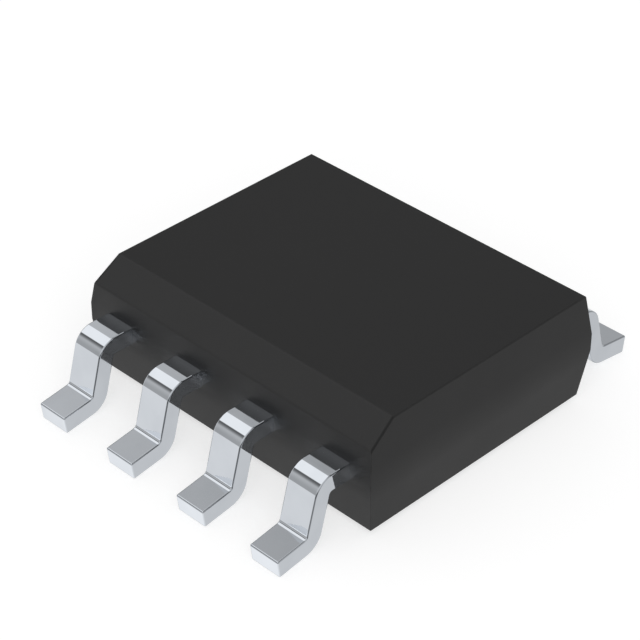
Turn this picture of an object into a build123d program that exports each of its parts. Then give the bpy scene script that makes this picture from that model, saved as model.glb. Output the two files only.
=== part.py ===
# Eight-lead surface-mount chip that drives LEDs.
# Millimetres. The origin is under the middle of the body, on the seating plane z = 0.
# X runs across the package from row to row, and Y runs along the rows.
# The bevelled edge marks the row of leads 1 to 4, on the -X side. Lead 1 is at +Y,
# and the numbers run counter-clockwise seen from above.

import os
from math import cos, radians, sin, tan

from build123d import *

os.makedirs("parts", exist_ok=True)

# Leads outside the body
leads_per_row = 4
lead_pitch = 1.27
lead_width = 0.47
sheet_thickness = 0.25  # one rolled strip gives the leads and the paddle
lead_edge_break = 0.02  # flat that the plating leaves in place of a sharp edge
shoulder_length = 0.287  # flat run from the body to the first bend
shank_angle = 75.0  # below the horizontal
foot_length = 0.44  # flat run from the second bend to the toe
foot_tilt = 8.0  # the toe is the lowest point
upper_bend_radius = 0.04  # inside of the bend under the shoulder
lower_bend_radius = 0.06  # inside of the bend above the foot

# Lead fingers inside the body
neck_length = 0.285  # from the body's side to the wide head
head_depth = 0.43
finger_spacing = 0.27  # between neighbouring fingers
end_finger_width = 0.42  # leg of a corner finger, past the end of the paddle
paddle_gap = 0.22  # between the fingers and the paddle
lock_hole_diameter = 0.18  # the moulding grips the finger through it

# Moulded body
body_width = 3.97
end_margin = 0.335  # body beyond the outer edge of the last lead
standoff = 0.10
lower_height = 0.693  # from the underside up to the leads
upper_height = 0.577  # from the leads up to the top
side_draft = 8.3  # degrees, on the two faces that the leads leave
end_draft = 7.3  # degrees, on the two end faces
bevel_width = 0.353
bevel_drop = 0.274
body_edge_radius = 0.025

# Die paddle and its tie bars
paddle_downset = 0.20  # from the leads' top down to the paddle's top
paddle_corner_radius = 0.12
tie_bar_width = 0.30
tie_bar_lead_in = 0.08  # flat run from the paddle to the first corner
tie_bar_slope = 40.0  # degrees
tie_bar_bend_radius = 0.05
tie_bar_cover = 0.12  # moulding over the cut end

# Die and its adhesive
die_side_margin = 0.30  # paddle left bare beside the die
die_end_margin = 0.55
die_thickness = 0.27
attach_thickness = 0.03
attach_bleed = 0.05  # adhesive squeezed out around the die
attach_corner_radius = 0.10

# Bond wires
wire_diameter = 0.05
wire_sides = 6  # flats that stand for the round of the wire
ball_diameter = 0.12
ball_height = 0.04
ball_sides = 12  # flats that stand for the round of the ball
pad_inset = 0.13  # from the side of the die to the middle of a bond pad
pad_end_inset = 0.20  # from the end of the die
pad_spacing = 0.50
loop_height = 0.16  # from the top of the die to the corner of the loop
loop_radius = 0.06
landing_inset = 0.07  # from the edges of the finger to the end of the wire
stitch_length = 0.09  # end of the wire that lies flat on the finger
stitch_bend_radius = 0.15
stitch_sink = 0.009  # how far the end is pressed flat

# Sizes of the body that follow
body_length = (leads_per_row - 1) * lead_pitch + lead_width + 2 * end_margin
half_width = body_width / 2
half_length = body_length / 2
band_bottom = standoff + lower_height
band_top = band_bottom + sheet_thickness
body_top = band_top + upper_height
side_rake = tan(radians(side_draft))
end_rake = tan(radians(end_draft))

# Plan of the lead frame, outwards from the middle of the body
head_outer = half_width - neck_length
head_inner = head_outer - head_depth
paddle_half_width = head_inner - paddle_gap
corner_outer = half_length - end_margin
corner_inner = corner_outer - end_finger_width
paddle_half_length = corner_inner - paddle_gap
corner_tip = tie_bar_width / 2 + finger_spacing

# Levels of the paddle and of what lies on it
paddle_top = band_top - paddle_downset
attach_top = paddle_top + attach_thickness
die_top = attach_top + die_thickness
die_half_width = paddle_half_width - die_side_margin
die_half_length = paddle_half_length - die_end_margin


# A lead's centre line, seen from the end of the package: along the neck and the
# shoulder, down the shank and out along the foot to the toe. The broken lower edge
# of the toe stands on the seating plane.
def lead_centre_line():
    half_thickness = sheet_thickness / 2
    shank = radians(shank_angle)
    foot = radians(foot_tilt)
    level = band_bottom + half_thickness
    upper_tangent = (upper_bend_radius + half_thickness) * tan(shank / 2)
    lower_tangent = (lower_bend_radius + half_thickness) * tan((shank - foot) / 2)
    foot_run = lower_tangent + foot_length
    toe_z = half_thickness * cos(foot) - lead_edge_break * sin(foot)
    heel_z = toe_z + foot_run * sin(foot)
    shoulder_x = half_width + shoulder_length + upper_tangent
    heel_x = shoulder_x + (level - heel_z) / tan(shank)
    toe_x = heel_x + foot_run * cos(foot)
    return [(head_outer, level), (shoulder_x, level), (heel_x, heel_z), (toe_x, toe_z)]


# The outline of a finger's head in the quarter where X and Y are positive.
# A corner finger has a leg that passes the end of the paddle.
def finger_outline(along, in_corner):
    low = along - (lead_pitch - finger_spacing) / 2
    high = along + (lead_pitch - finger_spacing) / 2
    if in_corner:
        return [
            (head_outer, low),
            (head_outer, corner_outer),
            (corner_tip, corner_outer),
            (corner_tip, corner_inner),
            (head_inner, corner_inner),
            (head_inner, low),
        ]
    return [(head_outer, low), (head_outer, high), (head_inner, high), (head_inner, low)]


# Each lead's number, the side of its row, its place along the row as a distance from
# the middle and the side of that, and how many leads lie between it and the corner
lead_places = []
for row_side in (-1, 1):
    for index in range(leads_per_row):
        offset_along = (index - (leads_per_row - 1) / 2) * lead_pitch
        end_side = 1 if offset_along > 0 else -1
        number = leads_per_row - index if row_side < 0 else leads_per_row + 1 + index
        from_corner = min(index, leads_per_row - 1 - index)
        lead_places.append((number, row_side, abs(offset_along), end_side, from_corner))

inner_parts = []

# Leads, each cut and formed from the strip in one piece with its finger
for number, row_side, along, end_side, from_corner in lead_places:
    with BuildPart() as lead:
        with BuildSketch(Plane.XZ.offset(-end_side * along)):
            with BuildLine():
                FilletPolyline(
                    *[(row_side * x, z) for x, z in lead_centre_line()],
                    radius=[
                        upper_bend_radius + sheet_thickness / 2,
                        lower_bend_radius + sheet_thickness / 2,
                    ],
                )
            trace(line_width=sheet_thickness)
        extrude(amount=lead_width / 2, both=True)
        ends = lead.faces().sort_by(Axis.X)[:: row_side]
        neck_end = ends[0]
        toe_end = ends[-1]
        sides = lead.faces().filter_by(Axis.Y)
        chamfer(sides.edges() + toe_end.edges() - neck_end.edges(), length=lead_edge_break)
        with BuildSketch(Plane.XY.offset(band_bottom)):
            with BuildLine():
                outline = finger_outline(along, from_corner == 0)
                Polyline(*[(row_side * x, end_side * y) for x, y in outline], close=True)
            make_face()
            hole_x = (head_inner + head_outer) / 2
            with Locations((row_side * hole_x, end_side * along)):
                Circle(lock_hole_diameter / 2, mode=Mode.SUBTRACT)
        extrude(amount=sheet_thickness)
    lead.part.label = f"lead_{number}"
    inner_parts.append(lead.part)
    export_step(lead.part, f"parts/lead_{number}.step")

# Die paddle, set down below the leads, with a tie bar bent up at each end
with BuildPart() as die_paddle:
    paddle_middle = paddle_top - sheet_thickness / 2
    with BuildSketch(Plane.XY.offset(paddle_top - sheet_thickness)):
        RectangleRounded(2 * paddle_half_width, 2 * paddle_half_length, paddle_corner_radius)
    extrude(amount=sheet_thickness)
    for end_side in (-1, 1):
        bend_start = paddle_half_length + tie_bar_lead_in
        bend_end = bend_start + paddle_downset / tan(radians(tie_bar_slope))
        with BuildSketch(Plane.YZ):
            with BuildLine():
                FilletPolyline(
                    (0, paddle_middle),
                    (end_side * bend_start, paddle_middle),
                    (end_side * bend_end, paddle_middle + paddle_downset),
                    (end_side * (half_length - tie_bar_cover), paddle_middle + paddle_downset),
                    radius=tie_bar_bend_radius + sheet_thickness / 2,
                )
            trace(line_width=sheet_thickness)
        extrude(amount=tie_bar_width / 2, both=True)
die_paddle.part.label = "die_paddle"
inner_parts.append(die_paddle.part)
export_step(die_paddle.part, "parts/die_paddle.step")

# Adhesive under the die
with BuildPart() as die_attach:
    with BuildSketch(Plane.XY.offset(paddle_top)):
        RectangleRounded(
            2 * (die_half_width + attach_bleed),
            2 * (die_half_length + attach_bleed),
            attach_corner_radius,
        )
    extrude(amount=attach_thickness)
die_attach.part.label = "die_attach"
inner_parts.append(die_attach.part)
export_step(die_attach.part, "parts/die_attach.step")

# Die, sawn square from the wafer
with BuildPart() as silicon_die:
    with BuildSketch(Plane.XY.offset(attach_top)):
        Rectangle(2 * die_half_width, 2 * die_half_length)
    extrude(amount=die_thickness)
silicon_die.part.label = "silicon_die"
inner_parts.append(silicon_die.part)
export_step(silicon_die.part, "parts/silicon_die.step")

# Bond wires, each from a ball on the die to a stitch on its finger
for number, row_side, along, end_side, from_corner in lead_places:
    pad_x = row_side * (die_half_width - pad_inset)
    pad_y = end_side * (die_half_length - pad_end_inset - from_corner * pad_spacing)
    landing_x = row_side * (head_inner + landing_inset)
    finger_edge = along - (lead_pitch - finger_spacing) / 2
    landing_y = end_side * (finger_edge + landing_inset)
    pad = Vector(pad_x, pad_y, die_top)
    reach = Vector(landing_x - pad_x, landing_y - pad_y, 0)
    loop_plane = Plane(pad, x_dir=reach, z_dir=reach.cross(Vector(0, 0, 1)))
    stitch_level = band_top - die_top + wire_diameter / 2 - stitch_sink
    with BuildPart() as bond_wire:
        with BuildLine(loop_plane):
            FilletPolyline(
                (0, 0),
                (0, loop_height),
                (reach.length - stitch_length, stitch_level),
                (reach.length, stitch_level),
                radius=[loop_radius, stitch_bend_radius],
            )
        with BuildSketch(Plane(pad, x_dir=reach)):
            RegularPolygon(wire_diameter / 2, side_count=wire_sides)
        sweep()
        split(bisect_by=Plane.XY.offset(band_top), keep=Keep.TOP)
        with BuildSketch(Plane(pad)):
            RegularPolygon(ball_diameter / 2, side_count=ball_sides)
        extrude(amount=ball_height)
    bond_wire.part.label = f"bond_wire_{number}"
    inner_parts.append(bond_wire.part)
    export_step(bond_wire.part, f"parts/bond_wire_{number}.step")

# Body, moulded around everything that it holds
with BuildPart() as mould_body:
    side_inset = side_rake * upper_height
    bevel_bottom = body_top - bevel_drop
    with BuildSketch(Plane.XZ):
        with BuildLine():
            Polyline(
                (side_rake * lower_height - half_width, standoff),
                (-half_width, band_bottom),
                (-half_width, band_top),
                (side_rake * (bevel_bottom - band_top) - half_width, bevel_bottom),
                (side_inset + bevel_width - half_width, body_top),
                (half_width - side_inset, body_top),
                (half_width, band_top),
                (half_width, band_bottom),
                (half_width - side_rake * lower_height, standoff),
                close=True,
            )
        make_face()
    extrude(amount=body_length, both=True)
    with BuildSketch(Plane.YZ):
        with BuildLine():
            Polyline(
                (end_rake * lower_height - half_length, standoff),
                (-half_length, band_bottom),
                (-half_length, band_top),
                (end_rake * upper_height - half_length, body_top),
                (half_length - end_rake * upper_height, body_top),
                (half_length, band_top),
                (half_length, band_bottom),
                (half_length - end_rake * lower_height, standoff),
                close=True,
            )
        make_face()
    extrude(amount=body_width, both=True, mode=Mode.INTERSECT)
    top_face = mould_body.faces().sort_by(Axis.Z)[-1]
    bevel_face = mould_body.faces().sort_by(Axis.Z)[-2]
    bevel_edges = bevel_face.edges() - top_face.edges()
    fillet(top_face.edges() + bevel_edges, radius=body_edge_radius)
    add(inner_parts, mode=Mode.SUBTRACT)
mould_body.part.label = "mould_body"
export_step(mould_body.part, "parts/mould_body.step")
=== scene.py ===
# Surface-mount LED driver chip: matte moulded body, bright tinned leads, and the die inside.
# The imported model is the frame, in metres. Sizes below are in millimetres, as on a drawing.
import math

import bmesh
import bpy
from mathutils import Matrix, Vector
from mathutils.kdtree import KDTree


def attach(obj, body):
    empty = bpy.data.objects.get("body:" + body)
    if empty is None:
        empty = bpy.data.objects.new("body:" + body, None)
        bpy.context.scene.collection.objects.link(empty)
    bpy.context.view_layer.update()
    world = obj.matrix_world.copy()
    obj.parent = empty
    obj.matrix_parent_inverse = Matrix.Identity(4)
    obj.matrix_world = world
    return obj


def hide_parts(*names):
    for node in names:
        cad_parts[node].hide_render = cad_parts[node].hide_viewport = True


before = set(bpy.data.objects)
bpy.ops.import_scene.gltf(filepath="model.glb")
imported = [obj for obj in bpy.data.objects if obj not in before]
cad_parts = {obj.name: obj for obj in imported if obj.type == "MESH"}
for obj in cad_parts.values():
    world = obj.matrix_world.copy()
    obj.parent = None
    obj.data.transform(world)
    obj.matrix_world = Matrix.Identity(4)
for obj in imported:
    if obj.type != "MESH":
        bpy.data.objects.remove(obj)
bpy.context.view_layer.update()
print("frame loaded,", len(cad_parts), "CAD nodes")

mm = 0.001
scene = bpy.context.scene


class Signal:
    # a node's output socket that can be used in plain expressions
    def __init__(self, tree, socket=None):
        self.tree = tree
        self.socket = socket

    def node(self, kind, settings=None, inputs=None, output=0):
        made = self.tree.nodes.new(kind)
        for name, value in (settings or {}).items():
            setattr(made, name, value)
        for name, value in (inputs or {}).items():
            if isinstance(value, Signal):
                self.tree.links.new(value.socket, made.inputs[name])
            else:
                made.inputs[name].default_value = value
        return Signal(self.tree, made.outputs[output] if made.outputs else None)

    def calc(self, operation, first, second):
        return self.node("ShaderNodeMath", {"operation": operation}, {0: first, 1: second})

    def __add__(self, other):
        return self.calc("ADD", self, other)

    def __sub__(self, other):
        return self.calc("SUBTRACT", self, other)

    def __rsub__(self, other):
        return self.calc("SUBTRACT", other, self)

    def __mul__(self, other):
        return self.calc("MULTIPLY", self, other)

    def __truediv__(self, other):
        return self.calc("DIVIDE", self, other)

    def __rtruediv__(self, other):
        return self.calc("DIVIDE", other, self)

    def __abs__(self):
        return self.calc("ABSOLUTE", self, 0.0)

    __radd__ = __add__
    __rmul__ = __mul__

    def between(self, low, high, first=0.0, last=1.0, step="SMOOTHSTEP"):
        # from first to last in a soft step, while the value runs from low to high
        return self.node(
            "ShaderNodeMapRange",
            {"interpolation_type": step},
            {"Value": self, "From Min": low, "From Max": high, "To Min": first, "To Max": last},
        )

    def ramp(self, low, high, first, last):
        # the same in a straight line
        return self.between(low, high, first, last, "LINEAR")

    def blend(self, first, second):
        # this value picks between two colours
        inputs = {"Factor": self, 6: first, 7: second}
        return self.node("ShaderNodeMix", {"data_type": "RGBA"}, inputs, output=2)

    def millimetres(self):
        # where a spot lies on the part
        place = self.node("ShaderNodeTexCoord", output="Object")
        inputs = {0: place, "Scale": 1 / mm}
        return self.node("ShaderNodeVectorMath", {"operation": "SCALE"}, inputs)

    def noise(self, place, perMillimetre, detail=3.0, roughness=0.5):
        inputs = {"Scale": perMillimetre, "Detail": detail, "Roughness": roughness}
        return self.node("ShaderNodeTexNoise", inputs={"Vector": place, **inputs})

    def stretched(self, place, scales):
        return self.node("ShaderNodeMapping", inputs={"Vector": place, "Scale": scales})

    def part(self, axis):
        return self.node("ShaderNodeSeparateXYZ", inputs={0: self}, output=axis)


def emptyTree(owner):
    # where the nodes of a material or a world start
    owner.use_nodes = True
    owner.node_tree.nodes.clear()
    return Signal(owner.node_tree)


def newFinish(name, steady, varied):
    # steady holds plain socket values, and varied returns what changes over the surface
    material = bpy.data.materials.new(name)
    start = emptyTree(material)
    shader = start.node("ShaderNodeBsdfPrincipled", inputs={**steady, **varied(start)})
    start.node("ShaderNodeOutputMaterial", inputs={"Surface": shader})
    return material


def bumpFrom(start, height, strength, depth):
    inputs = {"Height": height, "Strength": strength, "Distance": depth * mm}
    return start.node("ShaderNodeBump", inputs=inputs)


def meshFrom(shape, name):
    mesh = bpy.data.meshes.new(name)
    shape.to_mesh(mesh)
    shape.free()
    return mesh


leadSizes = {  # the body's skin goes by these too
    "perRow": 4,
    "pitch": 1.27,
    "width": 0.47,
    "thickness": 0.25,
    "level": 0.918,  # middle of the strip
    "bodySide": 1.985,
    "shoulder": 0.287,
    "shankAngle": 75.0,
    "footLength": 0.44,
    "footTilt": 8.0,
    "upperBend": 0.04,
    "lowerBend": 0.06,
    "toeLift": 0.02,  # the toe's lower edge is broken by this much
    "roundedEdge": 0.02,
    "cornerSteps": 5,
    "upperBendSteps": 40,
    "lowerBendSteps": 28,
    "headOuter": 1.70,
    "headInner": 1.27,
    "headReach": 0.50,  # half of the room that a finger's head takes along the row
    "stripInHead": 0.06,  # how far the formed strip runs into the head
    "cornerOuter": 2.14,
    "cornerInner": 1.72,
    "cornerTip": 0.42,
    "lockHole": 0.18,
    "lockHoleSteps": 32,
}


# Finishes

compoundLook = {
    "colour": (0.0122, 0.0122, 0.0124, 1),
    "fillerColour": (0.0160, 0.0160, 0.0160, 1),  # silica grains that show at the skin
    "specular": 0.50,
    "roughness": 0.50,
    "cloudRoughness": 0.08,
    "fleckRoughness": 0.04,
    "grainPerMillimetre": 46.0,
    "grainRoughness": 0.6,
    "grainStrength": 0.5,
    "grainDepth": 0.0009,
    "fleckRange": (0.58, 0.70),  # grain above this is a fleck of filler
    "fleckShare": 0.6,
    "cloudPerMillimetre": 1.3,
    "cloudShare": 0.25,
    "shadeAndSmoothReach": 0.36,  # painted shade: the skin beside the leads gets a darker colour where they shade it, and is smoother there
    "shadeAndSmoothFallBelow": 2.5,  # below them it stops this many times sooner
    "smoothnessBesideLeads": 0.22,
    # the painted shade's colour, darker than the compound's own
    "paintedShadeColour": (0.0060, 0.0060, 0.0064, 1),
}


def besideLeads(start, place):
    # how far a spot of the body's skin is from where the nearest lead leaves it
    size = leadSizes
    x, y, z = place.part(0), place.part(1), place.part(2)
    fromMiddle = start.calc("PINGPONG", y - size["pitch"] / 2, size["pitch"] / 2)
    past = start.calc("MAXIMUM", fromMiddle - size["width"] / 2, 0.0)
    rise = z - size["level"]
    over = start.calc("MAXIMUM", rise, rise * -compoundLook["shadeAndSmoothFallBelow"])
    over = start.calc("MAXIMUM", over - size["thickness"] / 2, 0.0)
    inward = start.calc("MAXIMUM", size["bodySide"] - abs(x), 0.0)
    return start.calc("POWER", past * past + over * over + inward * inward, 0.5)


def compoundVaried(start):
    look = compoundLook
    place = start.millimetres()
    grain = start.noise(place, look["grainPerMillimetre"], roughness=look["grainRoughness"])
    cloud = start.noise(place, look["cloudPerMillimetre"])
    fleck = grain.between(*look["fleckRange"])
    filler = fleck * look["fleckShare"] + cloud * look["cloudShare"]
    plain = filler.blend(look["colour"], look["fillerColour"])
    rough = cloud * look["cloudRoughness"] + fleck * look["fleckRoughness"] + look["roughness"]
    # painted shade beside the leads, which also makes the skin smoother there
    paintedShadeAndSmoothness = besideLeads(start, place).between(look["shadeAndSmoothReach"], 0.0)
    return {
        "Base Color": paintedShadeAndSmoothness.blend(plain, look["paintedShadeColour"]),
        "Roughness": rough - paintedShadeAndSmoothness * look["smoothnessBesideLeads"],
        "Normal": bumpFrom(start, grain, look["grainStrength"], look["grainDepth"]),
    }


tinLook = {
    "colour": (0.775, 0.812, 0.862, 1),
    "dullColour": (0.735, 0.772, 0.822, 1),
    "dullRange": (0.35, 0.7),
    "cloudPerMillimetre": 2.2,
    "paintedEdgeShadeColour": (0.52, 0.55, 0.59, 1),  # painted shade: a darker colour along the rounded edges, for the dark lines that they mirror
    "paintedEdgeShadeRange": (0.25, 0.8),
    "roughness": 0.025,
    "cloudRoughness": 0.03,
    "cloudRange": (0.3, 0.75),
    "crystalsPerMillimetre": 30.0,
    "crystalDetail": 2.0,
    "crystalRoughness": 0.015,
    "crystalRange": (0.55, 0.8),
    "crystalStrength": 0.05,
    "crystalDepth": 0.0004,
    "bareColour": (0.70, 0.36, 0.23, 1),  # the tin stops where the moulding starts
    "bareRoughness": 0.26,  # more than the tin's
    "bareWithin": 0.01,
}


def tinVaried(start):
    look = tinLook
    place = start.millimetres()
    cloud = start.noise(place, look["cloudPerMillimetre"])
    crystals = start.noise(place, look["crystalsPerMillimetre"], look["crystalDetail"])
    # painted shade along the rounded edges and round the toe, read from the mesh
    edge = start.node("ShaderNodeAttribute", {"attribute_name": "paintedEdgeShade"}, output="Fac")
    plain = cloud.between(*look["dullRange"]).blend(look["colour"], look["dullColour"])
    tinned = edge.between(*look["paintedEdgeShadeRange"]).blend(plain, look["paintedEdgeShadeColour"])
    side = leadSizes["bodySide"]
    bare = abs(place.part(0)).between(side, side - look["bareWithin"])
    return {
        "Base Color": bare.blend(tinned, look["bareColour"]),
        "Roughness": cloud.between(*look["cloudRange"]) * look["cloudRoughness"]
        + crystals.between(*look["crystalRange"]) * look["crystalRoughness"]
        + look["roughness"]
        + bare * look["bareRoughness"],
        "Normal": bumpFrom(start, crystals, look["crystalStrength"], look["crystalDepth"]),
    }


copperLook = {
    "colour": (0.70, 0.36, 0.23, 1),
    "wornColour": (0.50, 0.25, 0.16, 1),
    "wornRange": (0.35, 0.75),
    "cloudPerMillimetre": 2.5,
    "rollingPerMillimetre": (40.0, 1.5, 40.0),  # fine lines along the strip
    "roughness": 0.15,
    "lineRoughness": 0.16,
    "cloudRoughness": 0.10,
    "lineStrength": 0.3,
    "lineDepth": 0.001,
}


def copperVaried(start):
    look = copperLook
    place = start.millimetres()
    lines = start.noise(start.stretched(place, look["rollingPerMillimetre"]), 1.0)
    cloud = start.noise(place, look["cloudPerMillimetre"])
    return {
        "Base Color": cloud.between(*look["wornRange"]).blend(look["colour"], look["wornColour"]),
        "Roughness": lines * look["lineRoughness"]
        + cloud * look["cloudRoughness"]
        + look["roughness"],
        "Normal": bumpFrom(start, lines, look["lineStrength"], look["lineDepth"]),
    }


adhesiveLook = {
    "colour": (0.42, 0.42, 0.43, 1),
    "flakeColour": (0.72, 0.72, 0.74, 1),
    "flakesPerMillimetre": 55.0,
    "flakeRange": (0.25, 0.05),
    "flakeMetal": 0.8,
    "roughness": 0.42,
    "swirlRoughness": 0.2,
    "flakeSmoothness": 0.15,
    "swirlPerMillimetre": 5.0,
    "swirlDetail": 4.0,
    "swirlStrength": 0.4,
    "swirlDepth": 0.004,
}


def adhesiveVaried(start):
    look = adhesiveLook
    place = start.millimetres()
    inputs = {"Vector": place, "Scale": look["flakesPerMillimetre"]}
    flakes = start.node("ShaderNodeTexVoronoi", inputs=inputs, output="Distance")
    swirl = start.noise(place, look["swirlPerMillimetre"], look["swirlDetail"])
    shine = flakes.between(*look["flakeRange"])
    return {
        "Base Color": shine.blend(look["colour"], look["flakeColour"]),
        "Roughness": swirl * look["swirlRoughness"]
        - shine * look["flakeSmoothness"]
        + look["roughness"],
        "Metallic": shine * look["flakeMetal"],
        "Normal": bumpFrom(start, swirl, look["swirlStrength"], look["swirlDepth"]),
    }


siliconLook = {
    "index": 1.9,
    "colour": (0.045, 0.050, 0.066, 1),
    "blockColour": (0.085, 0.075, 0.095, 1),
    "blockRange": (0.45, 0.55),
    "blocks": {"Scale": 5.0, "Randomness": 0.85},
    "metalColour": (0.33, 0.31, 0.25, 1),
    "metalRange": (0.3, 0.5),
    "tracks": {"Scale": 9.0, "Mortar Size": 0.05, "Mortar Smooth": 0.1},
    "trackOffset": 0.35,
    "roughness": 0.10,
    "trackRoughness": 0.15,
    "blockRoughness": 0.08,
    "circuitRange": (1.135, 1.141),  # the circuit is on the top, and below that the sides are sawn
    "sawPerMillimetre": (2.5, 2.5, 80.0),
    "sawnColour": (0.10, 0.10, 0.11, 1),
    "sawnLineColour": (0.17, 0.17, 0.18, 1),
    "sawnRange": (0.4, 0.7),
    "sawnRoughness": 0.34,
    "sawnLineRoughness": 0.2,
}


def siliconVaried(start):
    look = siliconLook
    place = start.millimetres()
    blocks = start.node(
        "ShaderNodeTexVoronoi",
        {"distance": "CHEBYCHEV"},
        {"Vector": place, **look["blocks"]},
        output="Color",
    )
    tracks = start.node(
        "ShaderNodeTexBrick",
        {"offset": look["trackOffset"]},
        {"Vector": place, **look["tracks"]},
        output="Fac",
    )
    pick = blocks.part(0)
    plain = pick.between(*look["blockRange"]).blend(look["colour"], look["blockColour"])
    metal = tracks * pick.between(*look["metalRange"])
    sawMarks = start.noise(start.stretched(place, look["sawPerMillimetre"]), 1.0)
    sawLines = sawMarks.between(*look["sawnRange"])
    sawn = sawLines.blend(look["sawnColour"], look["sawnLineColour"])
    onTop = place.part(2).between(*look["circuitRange"])
    polished = tracks * look["trackRoughness"] + pick * look["blockRoughness"] + look["roughness"]
    rough = sawMarks * look["sawnLineRoughness"] + look["sawnRoughness"]
    return {
        "Base Color": onTop.blend(sawn, metal.blend(plain, look["metalColour"])),
        "Roughness": rough + onTop * (polished - rough),
    }


wireLook = {
    "colour": (0.80, 0.46, 0.28, 1),
    "dullColour": (0.64, 0.35, 0.21, 1),
    "dullRange": (0.35, 0.75),
    "drawnPerMillimetre": 24.0,
    "drawnStrength": 0.2,
    "drawnDepth": 0.0008,
    "roughness": 0.09,
    "drawnRoughness": 0.14,
}


def wireVaried(start):
    look = wireLook
    drawn = start.noise(start.millimetres(), look["drawnPerMillimetre"])
    return {
        "Base Color": drawn.between(*look["dullRange"]).blend(look["colour"], look["dullColour"]),
        "Roughness": drawn * look["drawnRoughness"] + look["roughness"],
        "Normal": bumpFrom(start, drawn, look["drawnStrength"], look["drawnDepth"]),
    }


allMetal = {"Metallic": 1.0}
compoundSteady = {"Specular IOR Level": compoundLook["specular"]}
finishes = {
    "mould_compound": newFinish("moulding compound", compoundSteady, compoundVaried),
    "tinned_lead": newFinish("bright tin", allMetal, tinVaried),
    "copper_strip": newFinish("rolled copper alloy", allMetal, copperVaried),
    "die_adhesive": newFinish("silver-filled adhesive", {}, adhesiveVaried),
    "silicon": newFinish("polished silicon", {"IOR": siliconLook["index"]}, siliconVaried),
    "bond_wire": newFinish("drawn wire", allMetal, wireVaried),
}
print("finishes made,", len(finishes))


# Pieces

def dress(piece, finish):
    piece.data.materials.clear()
    piece.data.materials.append(finishes[finish])


def showPiece(name, mesh, finish, node):
    piece = bpy.data.objects.new(name, mesh)
    scene.collection.objects.link(piece)
    dress(piece, finish)
    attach(piece, "root")
    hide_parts(node)
    return piece


def settled(piece):
    # the piece's modifiers are worked into its mesh
    graph = bpy.context.evaluated_depsgraph_get()
    done = bpy.data.meshes.new_from_object(piece.evaluated_get(graph))
    old = piece.data
    piece.modifiers.clear()
    piece.data = done
    bpy.data.meshes.remove(old)
    return piece


bodySizes = {
    "halfWidth": 1.985,
    "halfLength": 2.475,
    "underside": 0.10,
    "bandLow": 0.793,
    "bandHigh": 1.043,
    "bevelLow": 1.346,
    "top": 1.62,
    "sideDraft": 8.3,
    "endDraft": 7.3,
    "bevelWidth": 0.353,
    "turnLow": 0.60,  # the sides shade as one soft turn from this height
    "turnHigh": 1.12,  # to this one, across the parting band
    "roundedEdge": 0.022,
    "crispEdge": 0.008,
    "creaseEdge": 0.105,  # between the bevel and an end face
    "creaseLean": 0.80,  # how steeply the crease faces up, which keeps it dark
    "creaseTurn": (0.08, 0.15),  # what faces left and endwise by more than this is the crease
    "sideRise": 0.3,  # what faces up or down by less than this is a side or an end
    "edgeSteps": 5,
}


def evenNormals(piece):
    # a vertex faces as the largest face beside it does, and so flat faces stay flat up to their
    # rounded edges
    size = bodySizes
    mesh = piece.data
    mesh.shade_smooth()
    facing = [Vector() for _ in mesh.vertices]
    for face in mesh.polygons:
        for vert in face.vertices:
            facing[vert] += face.normal * (face.area / mm**2) ** 2
    creaseLeft, creaseEndwise = size["creaseTurn"]
    for vert, way in zip(mesh.vertices, facing):
        way.normalize()
        if abs(way.z) < size["sideRise"]:
            # a side or an end, and a corner belongs to the nearer of them
            share = (vert.co.z / mm - size["turnLow"]) / (size["turnHigh"] - size["turnLow"])
            share = min(max(share, 0), 1)
            onSide = abs(way.x) > abs(way.y)
            draft = size["sideDraft"] if onSide else size["endDraft"]
            lean = math.radians(draft) * (2 * share - 1)
            flat = math.cos(lean)
            across = math.copysign(flat, way.x) if onSide else 0
            along = 0 if onSide else math.copysign(flat, way.y)
            way.xyz = (across, along, math.sin(lean))
        elif way.x < -creaseLeft and abs(way.y) > creaseEndwise:
            way.xyz = (0, math.copysign(1, way.y), size["creaseLean"])
            way.normalize()
    mesh.normals_split_custom_set_from_vertices(facing)
    return piece


def mouldedBody():
    size = bodySizes
    heights = ("underside", "turnLow", "bandLow", "bandHigh", "turnHigh", "bevelLow", "top")
    sideRake = math.tan(math.radians(size["sideDraft"]))
    endRake = math.tan(math.radians(size["endDraft"]))
    shape = bmesh.new()
    rings = []
    for height in heights:
        z = size[height]
        past = max(size["bandLow"] - z, z - size["bandHigh"], 0)
        right = size["halfWidth"] - sideRake * past
        left = right - (size["bevelWidth"] if height == "top" else 0)
        along = size["halfLength"] - endRake * past
        corners = ((-left, -along), (right, -along), (right, along), (-left, along))
        rings.append([shape.verts.new((x * mm, y * mm, z * mm)) for x, y in corners])
    shape.faces.new(reversed(rings[0]))
    shape.faces.new(rings[-1])
    for low, high in zip(rings, rings[1:]):
        for i in range(4):
            k = (i + 1) % 4
            shape.faces.new((low[i], low[k], high[k], high[i]))
    heightOf = {vert: height for height, ring in zip(heights, rings) for vert in ring}
    rounding = shape.edges.layers.float.new("bevel_weight_edge")
    for edge in shape.edges:
        touched = {heightOf[vert] for vert in edge.verts}
        onLeft = all(vert.co.x < 0 for vert in edge.verts)
        if onLeft and touched == {"bevelLow", "top"}:
            edge[rounding] = 1.0
        elif touched == {"top"} or (onLeft and touched == {"bevelLow"}):
            edge[rounding] = size["roundedEdge"] / size["creaseEdge"]
        elif touched == {"underside"} or len(touched) == 2:
            edge[rounding] = size["crispEdge"] / size["creaseEdge"]
    mesh = meshFrom(shape, "mouldedBody")
    piece = showPiece("moulded_body", mesh, "mould_compound", "mould_body")
    rounded = piece.modifiers.new("rounded", "BEVEL")
    rounded.limit_method = "WEIGHT"
    rounded.width = size["creaseEdge"] * mm
    rounded.segments = size["edgeSteps"]
    rounded.use_clamp_overlap = False
    return evenNormals(settled(piece))


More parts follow.
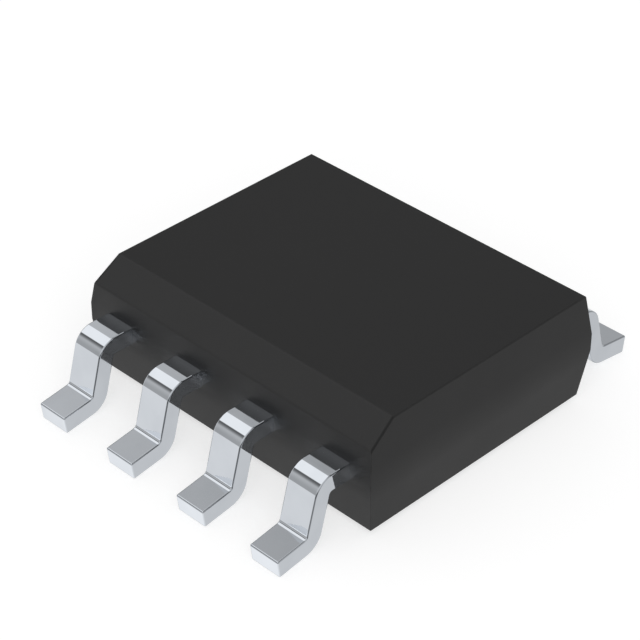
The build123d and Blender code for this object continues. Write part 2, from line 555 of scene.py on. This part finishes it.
def leadStations():
    # the strip's middle line as (x, z, slope below level), from inside the finger to the foot,
    # and the same for the toe's end
    size = leadSizes
    half = size["thickness"] / 2
    shank = math.radians(size["shankAngle"])
    foot = math.radians(size["footTilt"])
    upper = size["upperBend"] + half
    lower = size["lowerBend"] + half
    lowerTangent = lower * math.tan((shank - foot) / 2)
    run = lowerTangent + size["footLength"]
    toeZ = half * math.cos(foot) - size["toeLift"] * math.sin(foot)
    heelZ = toeZ + run * math.sin(foot)
    bendX = size["bodySide"] + size["shoulder"]
    shoulderX = bendX + upper * math.tan(shank / 2)
    heelX = shoulderX + (size["level"] - heelZ) / math.tan(shank)
    toeX = heelX + run * math.cos(foot)
    fingerX = size["headOuter"] - size["stripInHead"]
    stations = [(fingerX, size["level"], 0.0), (bendX, size["level"], 0.0)]
    for i in range(1, size["upperBendSteps"] + 1):
        slope = shank * i / size["upperBendSteps"]
        x = bendX + upper * math.sin(slope)
        z = size["level"] - upper * (1 - math.cos(slope))
        stations.append((x, z, slope))
    startX = heelX - lowerTangent * math.cos(shank)
    startZ = heelZ + lowerTangent * math.sin(shank)
    centreX = startX + lower * math.sin(shank)
    centreZ = startZ + lower * math.cos(shank)
    for i in range(size["lowerBendSteps"] + 1):
        slope = shank + (foot - shank) * i / size["lowerBendSteps"]
        x = centreX - lower * math.sin(slope)
        z = centreZ - lower * math.cos(slope)
        stations.append((x, z, slope))
    return stations, (toeX, toeZ, foot)


def stripSection(inset):
    # the strip's section as (across, up, angle that it faces, how much painted edge shade), an arc
    # at each corner
    size = leadSizes
    radius = size["roundedEdge"]
    reach = radius - inset
    points = []
    for turn, (side, face) in enumerate(((1, 1), (-1, 1), (-1, -1), (1, -1))):
        centreAcross = side * (size["width"] / 2 - radius)
        centreUp = face * (size["thickness"] / 2 - radius)
        for i in range(size["cornerSteps"] + 1):
            angle = math.pi / 2 * (turn + i / size["cornerSteps"])
            across = centreAcross + reach * math.cos(angle)
            up = centreUp + reach * math.sin(angle)
            points.append((across, up, angle, math.sin(math.pi * i / size["cornerSteps"])))
    return points


def formedStrip(rowSide, along):
    size = leadSizes
    stations, (toeX, toeZ, foot) = leadStations()
    radius = size["roundedEdge"]
    # each ring as (x, z, slope, inset of the section, how far round the toe's edge)
    rings = [(x, z, slope, 0.0, 0.0) for x, z, slope in stations]
    for i in range(size["cornerSteps"] + 1):
        turn = math.pi / 2 * i / size["cornerSteps"]
        back = radius * (1 - math.sin(turn))
        x = toeX - back * math.cos(foot)
        z = toeZ + back * math.sin(foot)
        rings.append((x, z, foot, radius * (1 - math.cos(turn)), turn))
    shape = bmesh.new()
    paintedEdgeShadeLayer = shape.verts.layers.float.new("paintedEdgeShade")
    made = []
    facing = []  # each point with the way that its surface faces
    for x, z, slope, inset, turn in rings:
        ring = []
        for across, up, angle, paintedEdgeShade in stripSection(inset):
            outX = rowSide * (x + up * math.sin(slope))
            outZ = z + up * math.cos(slope)
            vert = shape.verts.new((outX * mm, (along + across) * mm, outZ * mm))
            # the toe's rounded edge gets painted edge shade as well
            toePaintedEdgeShade = math.sin(2 * turn) * abs(math.sin(angle))
            vert[paintedEdgeShadeLayer] = max(paintedEdgeShade * math.cos(turn), toePaintedEdgeShade)
            ring.append(vert)
            outward = math.cos(turn) * math.sin(angle)
            forward = math.sin(turn)
            normal = Vector(
                (
                    rowSide * (outward * math.sin(slope) + forward * math.cos(slope)),
                    math.cos(turn) * math.cos(angle),
                    outward * math.cos(slope) - forward * math.sin(slope),
                )
            )
            facing.append((vert.co.copy(), normal))
        made.append(ring)
    count = len(made[0])
    for low, high in zip(made, made[1:]):
        for i in range(count):
            k = (i + 1) % count
            shape.faces.new((low[i], low[k], high[k], high[i]))
    shape.faces.new(made[0])
    shape.faces.new(made[-1])
    bmesh.ops.remove_doubles(shape, verts=shape.verts[:], dist=1e-8)
    bmesh.ops.recalc_face_normals(shape, faces=shape.faces[:])
    return meshFrom(shape, "formedStrip"), facing


def fingerHead(rowSide, along):
    # the wide end that the moulding grips, which reaches inwards at the ends of a row
    size = leadSizes
    outer, inner = size["headOuter"], size["headInner"]
    endSide = 1 if along > 0 else -1
    place = abs(along)
    low, high = place - size["headReach"], place + size["headReach"]
    if place > size["pitch"]:
        cornerOuter, cornerInner = size["cornerOuter"], size["cornerInner"]
        outline = [(outer, low), (outer, cornerOuter), (size["cornerTip"], cornerOuter)]
        outline += [(size["cornerTip"], cornerInner), (inner, cornerInner), (inner, low)]
    else:
        outline = [(outer, low), (outer, high), (inner, high), (inner, low)]
    bottom = (size["level"] - size["thickness"] / 2) * mm
    shape = bmesh.new()
    verts = [shape.verts.new((rowSide * x * mm, endSide * y * mm, bottom)) for x, y in outline]
    base = shape.faces.new(verts)
    lifted = bmesh.ops.extrude_face_region(shape, geom=[base])["geom"]
    upper = [made for made in lifted if isinstance(made, bmesh.types.BMVert)]
    bmesh.ops.translate(shape, verts=upper, vec=(0, 0, size["thickness"] * mm))
    bmesh.ops.recalc_face_normals(shape, faces=shape.faces[:])
    return meshFrom(shape, "fingerHead")


def lockPin(rowSide, along):
    # cuts the hole that the moulding fills
    size = leadSizes
    middle = rowSide * (size["headOuter"] + size["headInner"]) / 2
    radius = size["lockHole"] / 2 * mm
    shape = bmesh.new()
    bmesh.ops.create_cone(
        shape,
        cap_ends=True,
        segments=size["lockHoleSteps"],
        radius1=radius,
        radius2=radius,
        depth=2 * size["thickness"] * mm,
        matrix=Matrix.Translation((middle * mm, along * mm, size["level"] * mm)),
    )
    return meshFrom(shape, "lockPin")


def cutOrJoin(piece, mesh, operation):
    other = bpy.data.objects.new("tool", mesh)
    scene.collection.objects.link(other)
    step = piece.modifiers.new("step", "BOOLEAN")
    step.operation = operation
    step.solver = "EXACT"
    step.object = other
    settled(piece)
    bpy.data.objects.remove(other)
    bpy.data.meshes.remove(mesh)


def faceAsFormed(mesh, facing):
    # the strip's own bends and rounded edges shade true, and the rest shades flat
    sameSpot = 1e-7
    sameWay = 0.8
    spots = KDTree(len(facing))
    for i, (place, _) in enumerate(facing):
        spots.insert(place, i)
    spots.balance()
    mesh.shade_smooth()
    normals = []
    for face in mesh.polygons:
        for corner in face.loop_indices:
            place = mesh.vertices[mesh.loops[corner].vertex_index].co
            _, nearest, distance = spots.find(place)
            known = facing[nearest][1]
            formed = distance < sameSpot and known.dot(face.normal) > sameWay
            normals.append(known if formed else face.normal)
    mesh.normals_split_custom_set(normals)


def tinnedLead(number, rowSide, along):
    strip, facing = formedStrip(rowSide, along)
    piece = showPiece(f"tinned_lead_{number}", strip, "tinned_lead", f"lead_{number}")
    cutOrJoin(piece, fingerHead(rowSide, along), "UNION")
    cutOrJoin(piece, lockPin(rowSide, along), "DIFFERENCE")
    dress(piece, "tinned_lead")
    faceAsFormed(piece.data, facing)
    return piece


body = mouldedBody()
print("moulded body made,", len(body.data.polygons), "faces")

perRow = leadSizes["perRow"]
for number in range(1, 2 * perRow + 1):
    nearRow = number <= perRow  # the others come back along the far row
    rowSide = -1 if nearRow else 1
    place = number - 1 if nearRow else 2 * perRow - number
    lead = tinnedLead(number, rowSide, ((perRow - 1) / 2 - place) * leadSizes["pitch"])
print("leads made,", len(lead.data.polygons), "faces on the last")

innerFinishes = {
    "die_paddle": "copper_strip",
    "die_attach": "die_adhesive",
    "silicon_die": "silicon",
    **{f"bond_wire_{number}": "bond_wire" for number in range(1, 2 * perRow + 1)},
}
for node, finish in innerFinishes.items():
    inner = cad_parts[node]
    dress(inner, finish)
print("inner parts dressed,", len(innerFinishes))


# Studio

studio = {
    "floorHalf": 0.3,
    "floorColour": (0.50, 0.50, 0.50, 1),
    "floorLift": 0.64,  # brings the plain floor up to white for the camera
    "roomLight": 0.60,
    "lampPower": 0.067,
    "lampSize": 0.12,
    "lampPlace": (-0.075, -0.075, 0.075),
}
white = (1, 1, 1, 1)


def makeFloor():
    half = studio["floorHalf"]
    shape = bmesh.new()
    corners = ((-1, -1), (1, -1), (1, 1), (-1, 1))
    shape.faces.new([shape.verts.new((x * half, y * half, 0)) for x, y in corners])
    mesh = meshFrom(shape, "studioFloor")
    floor = bpy.data.objects.new("studio_floor", mesh)
    scene.collection.objects.link(floor)
    material = bpy.data.materials.new("pale floor")
    start = emptyTree(material)
    seen = start.node("ShaderNodeLightPath", output="Is Camera Ray")
    plain = start.node("ShaderNodeBsdfDiffuse", inputs={"Color": studio["floorColour"]})
    glow = {"Color": white, "Strength": studio["floorLift"]}
    lift = start.node("ShaderNodeEmission", inputs=glow)
    lifted = start.node("ShaderNodeAddShader", inputs={0: plain, 1: lift})
    lit = start.node("ShaderNodeMixShader", inputs={0: seen, 1: plain, 2: lifted})
    # clear from below and in the metal, which mirrors the room instead
    below = start.node("ShaderNodeNewGeometry", output="Backfacing")
    mirrored = start.node("ShaderNodeLightPath", output="Is Glossy Ray")
    clear = start.node("ShaderNodeBsdfTransparent")
    hidden = start.calc("MAXIMUM", below, mirrored)
    surface = start.node("ShaderNodeMixShader", inputs={0: hidden, 1: lit, 2: clear})
    start.node("ShaderNodeOutputMaterial", inputs={"Surface": surface})
    mesh.materials.append(material)


# The room that the metal mirrors. Its levels go by a ray's direction: x, y and z, across and
# along, which are x and y over the height, and aside, which is along without its sign.
roomWalls = {
    "lowest": 0.02,  # a lower height counts as this one
    "leftRise": (0.15, 0.48, 0.405, 0.515),  # by z
    "leftFall": (-1.45, -0.72, 1.0, 0.24),  # by across
    "rightByAlong": 0.6,
    "rightByAcross": 0.28,
    "rightStart": 0.115,
    "rightLeast": 0.30,
    "rightMost": 0.56,
    "outerRight": (0.92, 1.15),
    "outerRightRise": (1.6, 2.0, 0.20, 0.43),
    "wallsMeet": (-0.1, 0.1),
    "ahead": 0.79,  # below the horizon
    "behindRise": (-0.15, -0.92, 0.10, 1.0),
    "behindRight": (0.0, 0.35),
    "behindRightFall": (-0.70, -0.55, 0.68, 0.62),
    "behindToAhead": (-0.25, 0.25),
    "horizon": (-0.025, -0.005),
    "betweenFaces": 0.18,  # plain light for what one face mirrors in another
    "secondBounce": (1.4, 1.6),  # where that light takes over
}

# A panel's edges are soft steps, each from nothing to full. Inside them it brings the room to its
# own level, adds to the room's or dims it.
roomPanels = {
    "left": [{"edges": [("along", 0.5, 0.2)], "level": 0.85}],
    "above": [
        # at the right and low down, on the camera's side
        {"edges": [("x", 0.05, 0.3), ("x", 0.68, 0.55), ("y", -0.02, -0.2)], "dims": 0.7},
        {"edges": [("y", -0.05, -0.3), ("z", 0.3, 0.12)], "dims": 0.7},
        # for the far row's edges
        {"edges": [("x", 0.62, 0.68), ("y", 0.38, 0.28), ("z", 0.60, 0.52)], "level": 0.75},
        # farther left than what the leads mirror
        {"edges": [("y", 0.68, 0.80), ("x", -0.05, -0.25)], "level": 0.85},
        # the softbox over the upper bends
        {
            "edges": [
                ("across", -0.69, -0.59),
                ("across", 0.40, 0.36),
                ("along", -0.40, -0.20),
                ("along", 1.4, 1.3),
            ],
            "level": 1,
        },
        # either side of what the leads mirror at the right
        {"edges": [("y", 0.68, 0.80), ("x", 0.05, 0.25)], "dims": 0.8},
        {"edges": [("y", 0.50, 0.40), ("x", 0.05, 0.25)], "dims": 0.4},
        # what the leads' rounded edges catch
        {"edges": [("y", -0.60, -0.66), ("x", 0.47, 0.38), ("x", -0.45, -0.35)], "level": 0.75},
        {
            "edges": [("across", 0.45, 0.52), ("across", 0.90, 0.80), ("aside", 0.40, 0.25)],
            "level": 0.75,
        },
    ],
    "ahead": [
        {"edges": [("z", -0.26, -0.40), ("y", 0.76, 0.66)], "adds": -0.12},
        {"edges": [("z", -0.60, -0.70), ("x", -0.20, -0.32), ("y", 0.70, 0.62)], "adds": 0.33},
    ],
    "betweenFaces": [
        {"edges": [("z", 0.45, 0.60)], "adds": 0.37},
        {"edges": [("z", 0.45, 0.60), ("x", -0.1, -0.25)], "adds": 0.35},
        {"edges": [("z", -0.44, -0.56)], "adds": 0.12},
        {"edges": [("z", -0.44, -0.56), ("x", -0.05, -0.30)], "adds": 0.80},
        {"edges": [("z", -0.50, -0.60), ("y", -0.20, -0.40)], "adds": 0.4},
        {"edges": [("z", -0.12, -0.04), ("z", 0.10, 0.03)], "adds": 1.30},
        {"edges": [("bounces", 2.4, 2.6), ("z", -0.2, -0.4)], "adds": 0.7},
    ],
}


def withPanels(level, parts, panels):
    for panel in panels:
        steps = [parts[name].between(start, end) for name, start, end in panel["edges"]]
        shown = steps[0]
        for step in steps[1:]:
            shown = shown * step
        if "level" in panel:
            level = level + shown * (panel["level"] - level)
        elif "adds" in panel:
            level = level + shown * panel["adds"]
        else:
            level = level * (1 - shown * panel["dims"])
    return level


def roomAbove(start, parts):
    # walls that are lighter ahead of the camera, and darker behind it and at its right
    size = roomWalls
    across, along = parts["across"], parts["along"]
    left = parts["z"].between(*size["leftRise"]) * across.between(*size["leftFall"])
    left = withPanels(left, parts, roomPanels["left"])
    right = along * size["rightByAlong"] - across * size["rightByAcross"] + size["rightStart"]
    right = start.calc("MAXIMUM", right, size["rightLeast"])
    right = start.calc("MINIMUM", right, size["rightMost"])
    outer = across.between(*size["outerRightRise"])
    right = right + across.between(*size["outerRight"]) * (outer - right)
    wall = left + across.between(*size["wallsMeet"]) * (right - left)
    return withPanels(wall, parts, roomPanels["above"])


def roomBelow(parts):
    # white underneath, which falls off towards the camera's side
    size = roomWalls
    ahead = withPanels(size["ahead"], parts, roomPanels["ahead"])
    behind = parts["z"].ramp(*size["behindRise"])
    right = parts["z"].ramp(*size["behindRightFall"])
    behind = behind + parts["x"].between(*size["behindRight"]) * (right - behind)
    return behind + parts["y"].between(*size["behindToAhead"]) * (ahead - behind)


def makeRoom():
    size = roomWalls
    world = bpy.data.worlds.new("studio")
    scene.world = world
    world.cycles.sampling_method = "NONE"  # the room is smooth, so rays find it by themselves
    start = emptyTree(world)
    toward = start.node("ShaderNodeTexCoord", output="Generated")
    parts = {"x": toward.part(0), "y": toward.part(1), "z": toward.part(2)}
    height = start.calc("MAXIMUM", parts["z"], size["lowest"])
    parts["across"] = parts["x"] / height
    parts["along"] = parts["y"] / height
    parts["aside"] = abs(parts["along"])
    parts["bounces"] = start.node("ShaderNodeLightPath", output="Glossy Depth")
    above, below = roomAbove(start, parts), roomBelow(parts)
    mirrored = below + parts["z"].between(*size["horizon"]) * (above - below)
    between = withPanels(size["betweenFaces"], parts, roomPanels["betweenFaces"])
    mirrored = mirrored + parts["bounces"].between(*size["secondBounce"]) * (between - mirrored)
    grey = start.node("ShaderNodeCombineColor", inputs={i: mirrored for i in range(3)})
    glossy = start.node("ShaderNodeLightPath", output="Is Glossy Ray")
    seen = start.node("ShaderNodeLightPath", output="Is Camera Ray")
    plain = (studio["roomLight"],) * 3 + (1,)
    level = seen.blend(glossy.blend(plain, grey), white)
    shader = start.node("ShaderNodeBackground", inputs={"Color": level, "Strength": 1.0})
    start.node("ShaderNodeOutputWorld", inputs={"Surface": shader})


def makeLamp():
    data = bpy.data.lights.new("overhead", "AREA")
    data.energy = studio["lampPower"]
    data.size = studio["lampSize"]
    lamp = bpy.data.objects.new("overhead_lamp", data)
    lamp.location = studio["lampPlace"]
    lamp.rotation_euler = (-Vector(studio["lampPlace"])).to_track_quat("-Z", "Y").to_euler()
    lamp.visible_glossy = False
    lamp.visible_camera = False
    scene.collection.objects.link(lamp)


cameraSizes = {
    "sensor": 36.0,
    "lens": 129.26,
    "nearest": 1.0,
    "farthest": 2000.0,
    "place": (-16.8810, -16.5429, 17.7197),
    "lookDown": 35.2644,
    "turn": -45.0,
}


def makeCamera():
    size = cameraSizes
    data = bpy.data.cameras.new("camera")
    data.sensor_width = size["sensor"]
    data.lens = size["lens"]
    data.clip_start = size["nearest"] * mm
    data.clip_end = size["farthest"] * mm
    camera = bpy.data.objects.new("camera", data)
    camera.location = [part * mm for part in size["place"]]
    tilt, turn = math.radians(90 - size["lookDown"]), math.radians(size["turn"])
    camera.rotation_euler = (tilt, 0, turn)
    scene.collection.objects.link(camera)
    scene.camera = camera


makeFloor()
makeRoom()
makeLamp()
makeCamera()
scene.view_settings.view_transform = "Standard"
print("studio made")
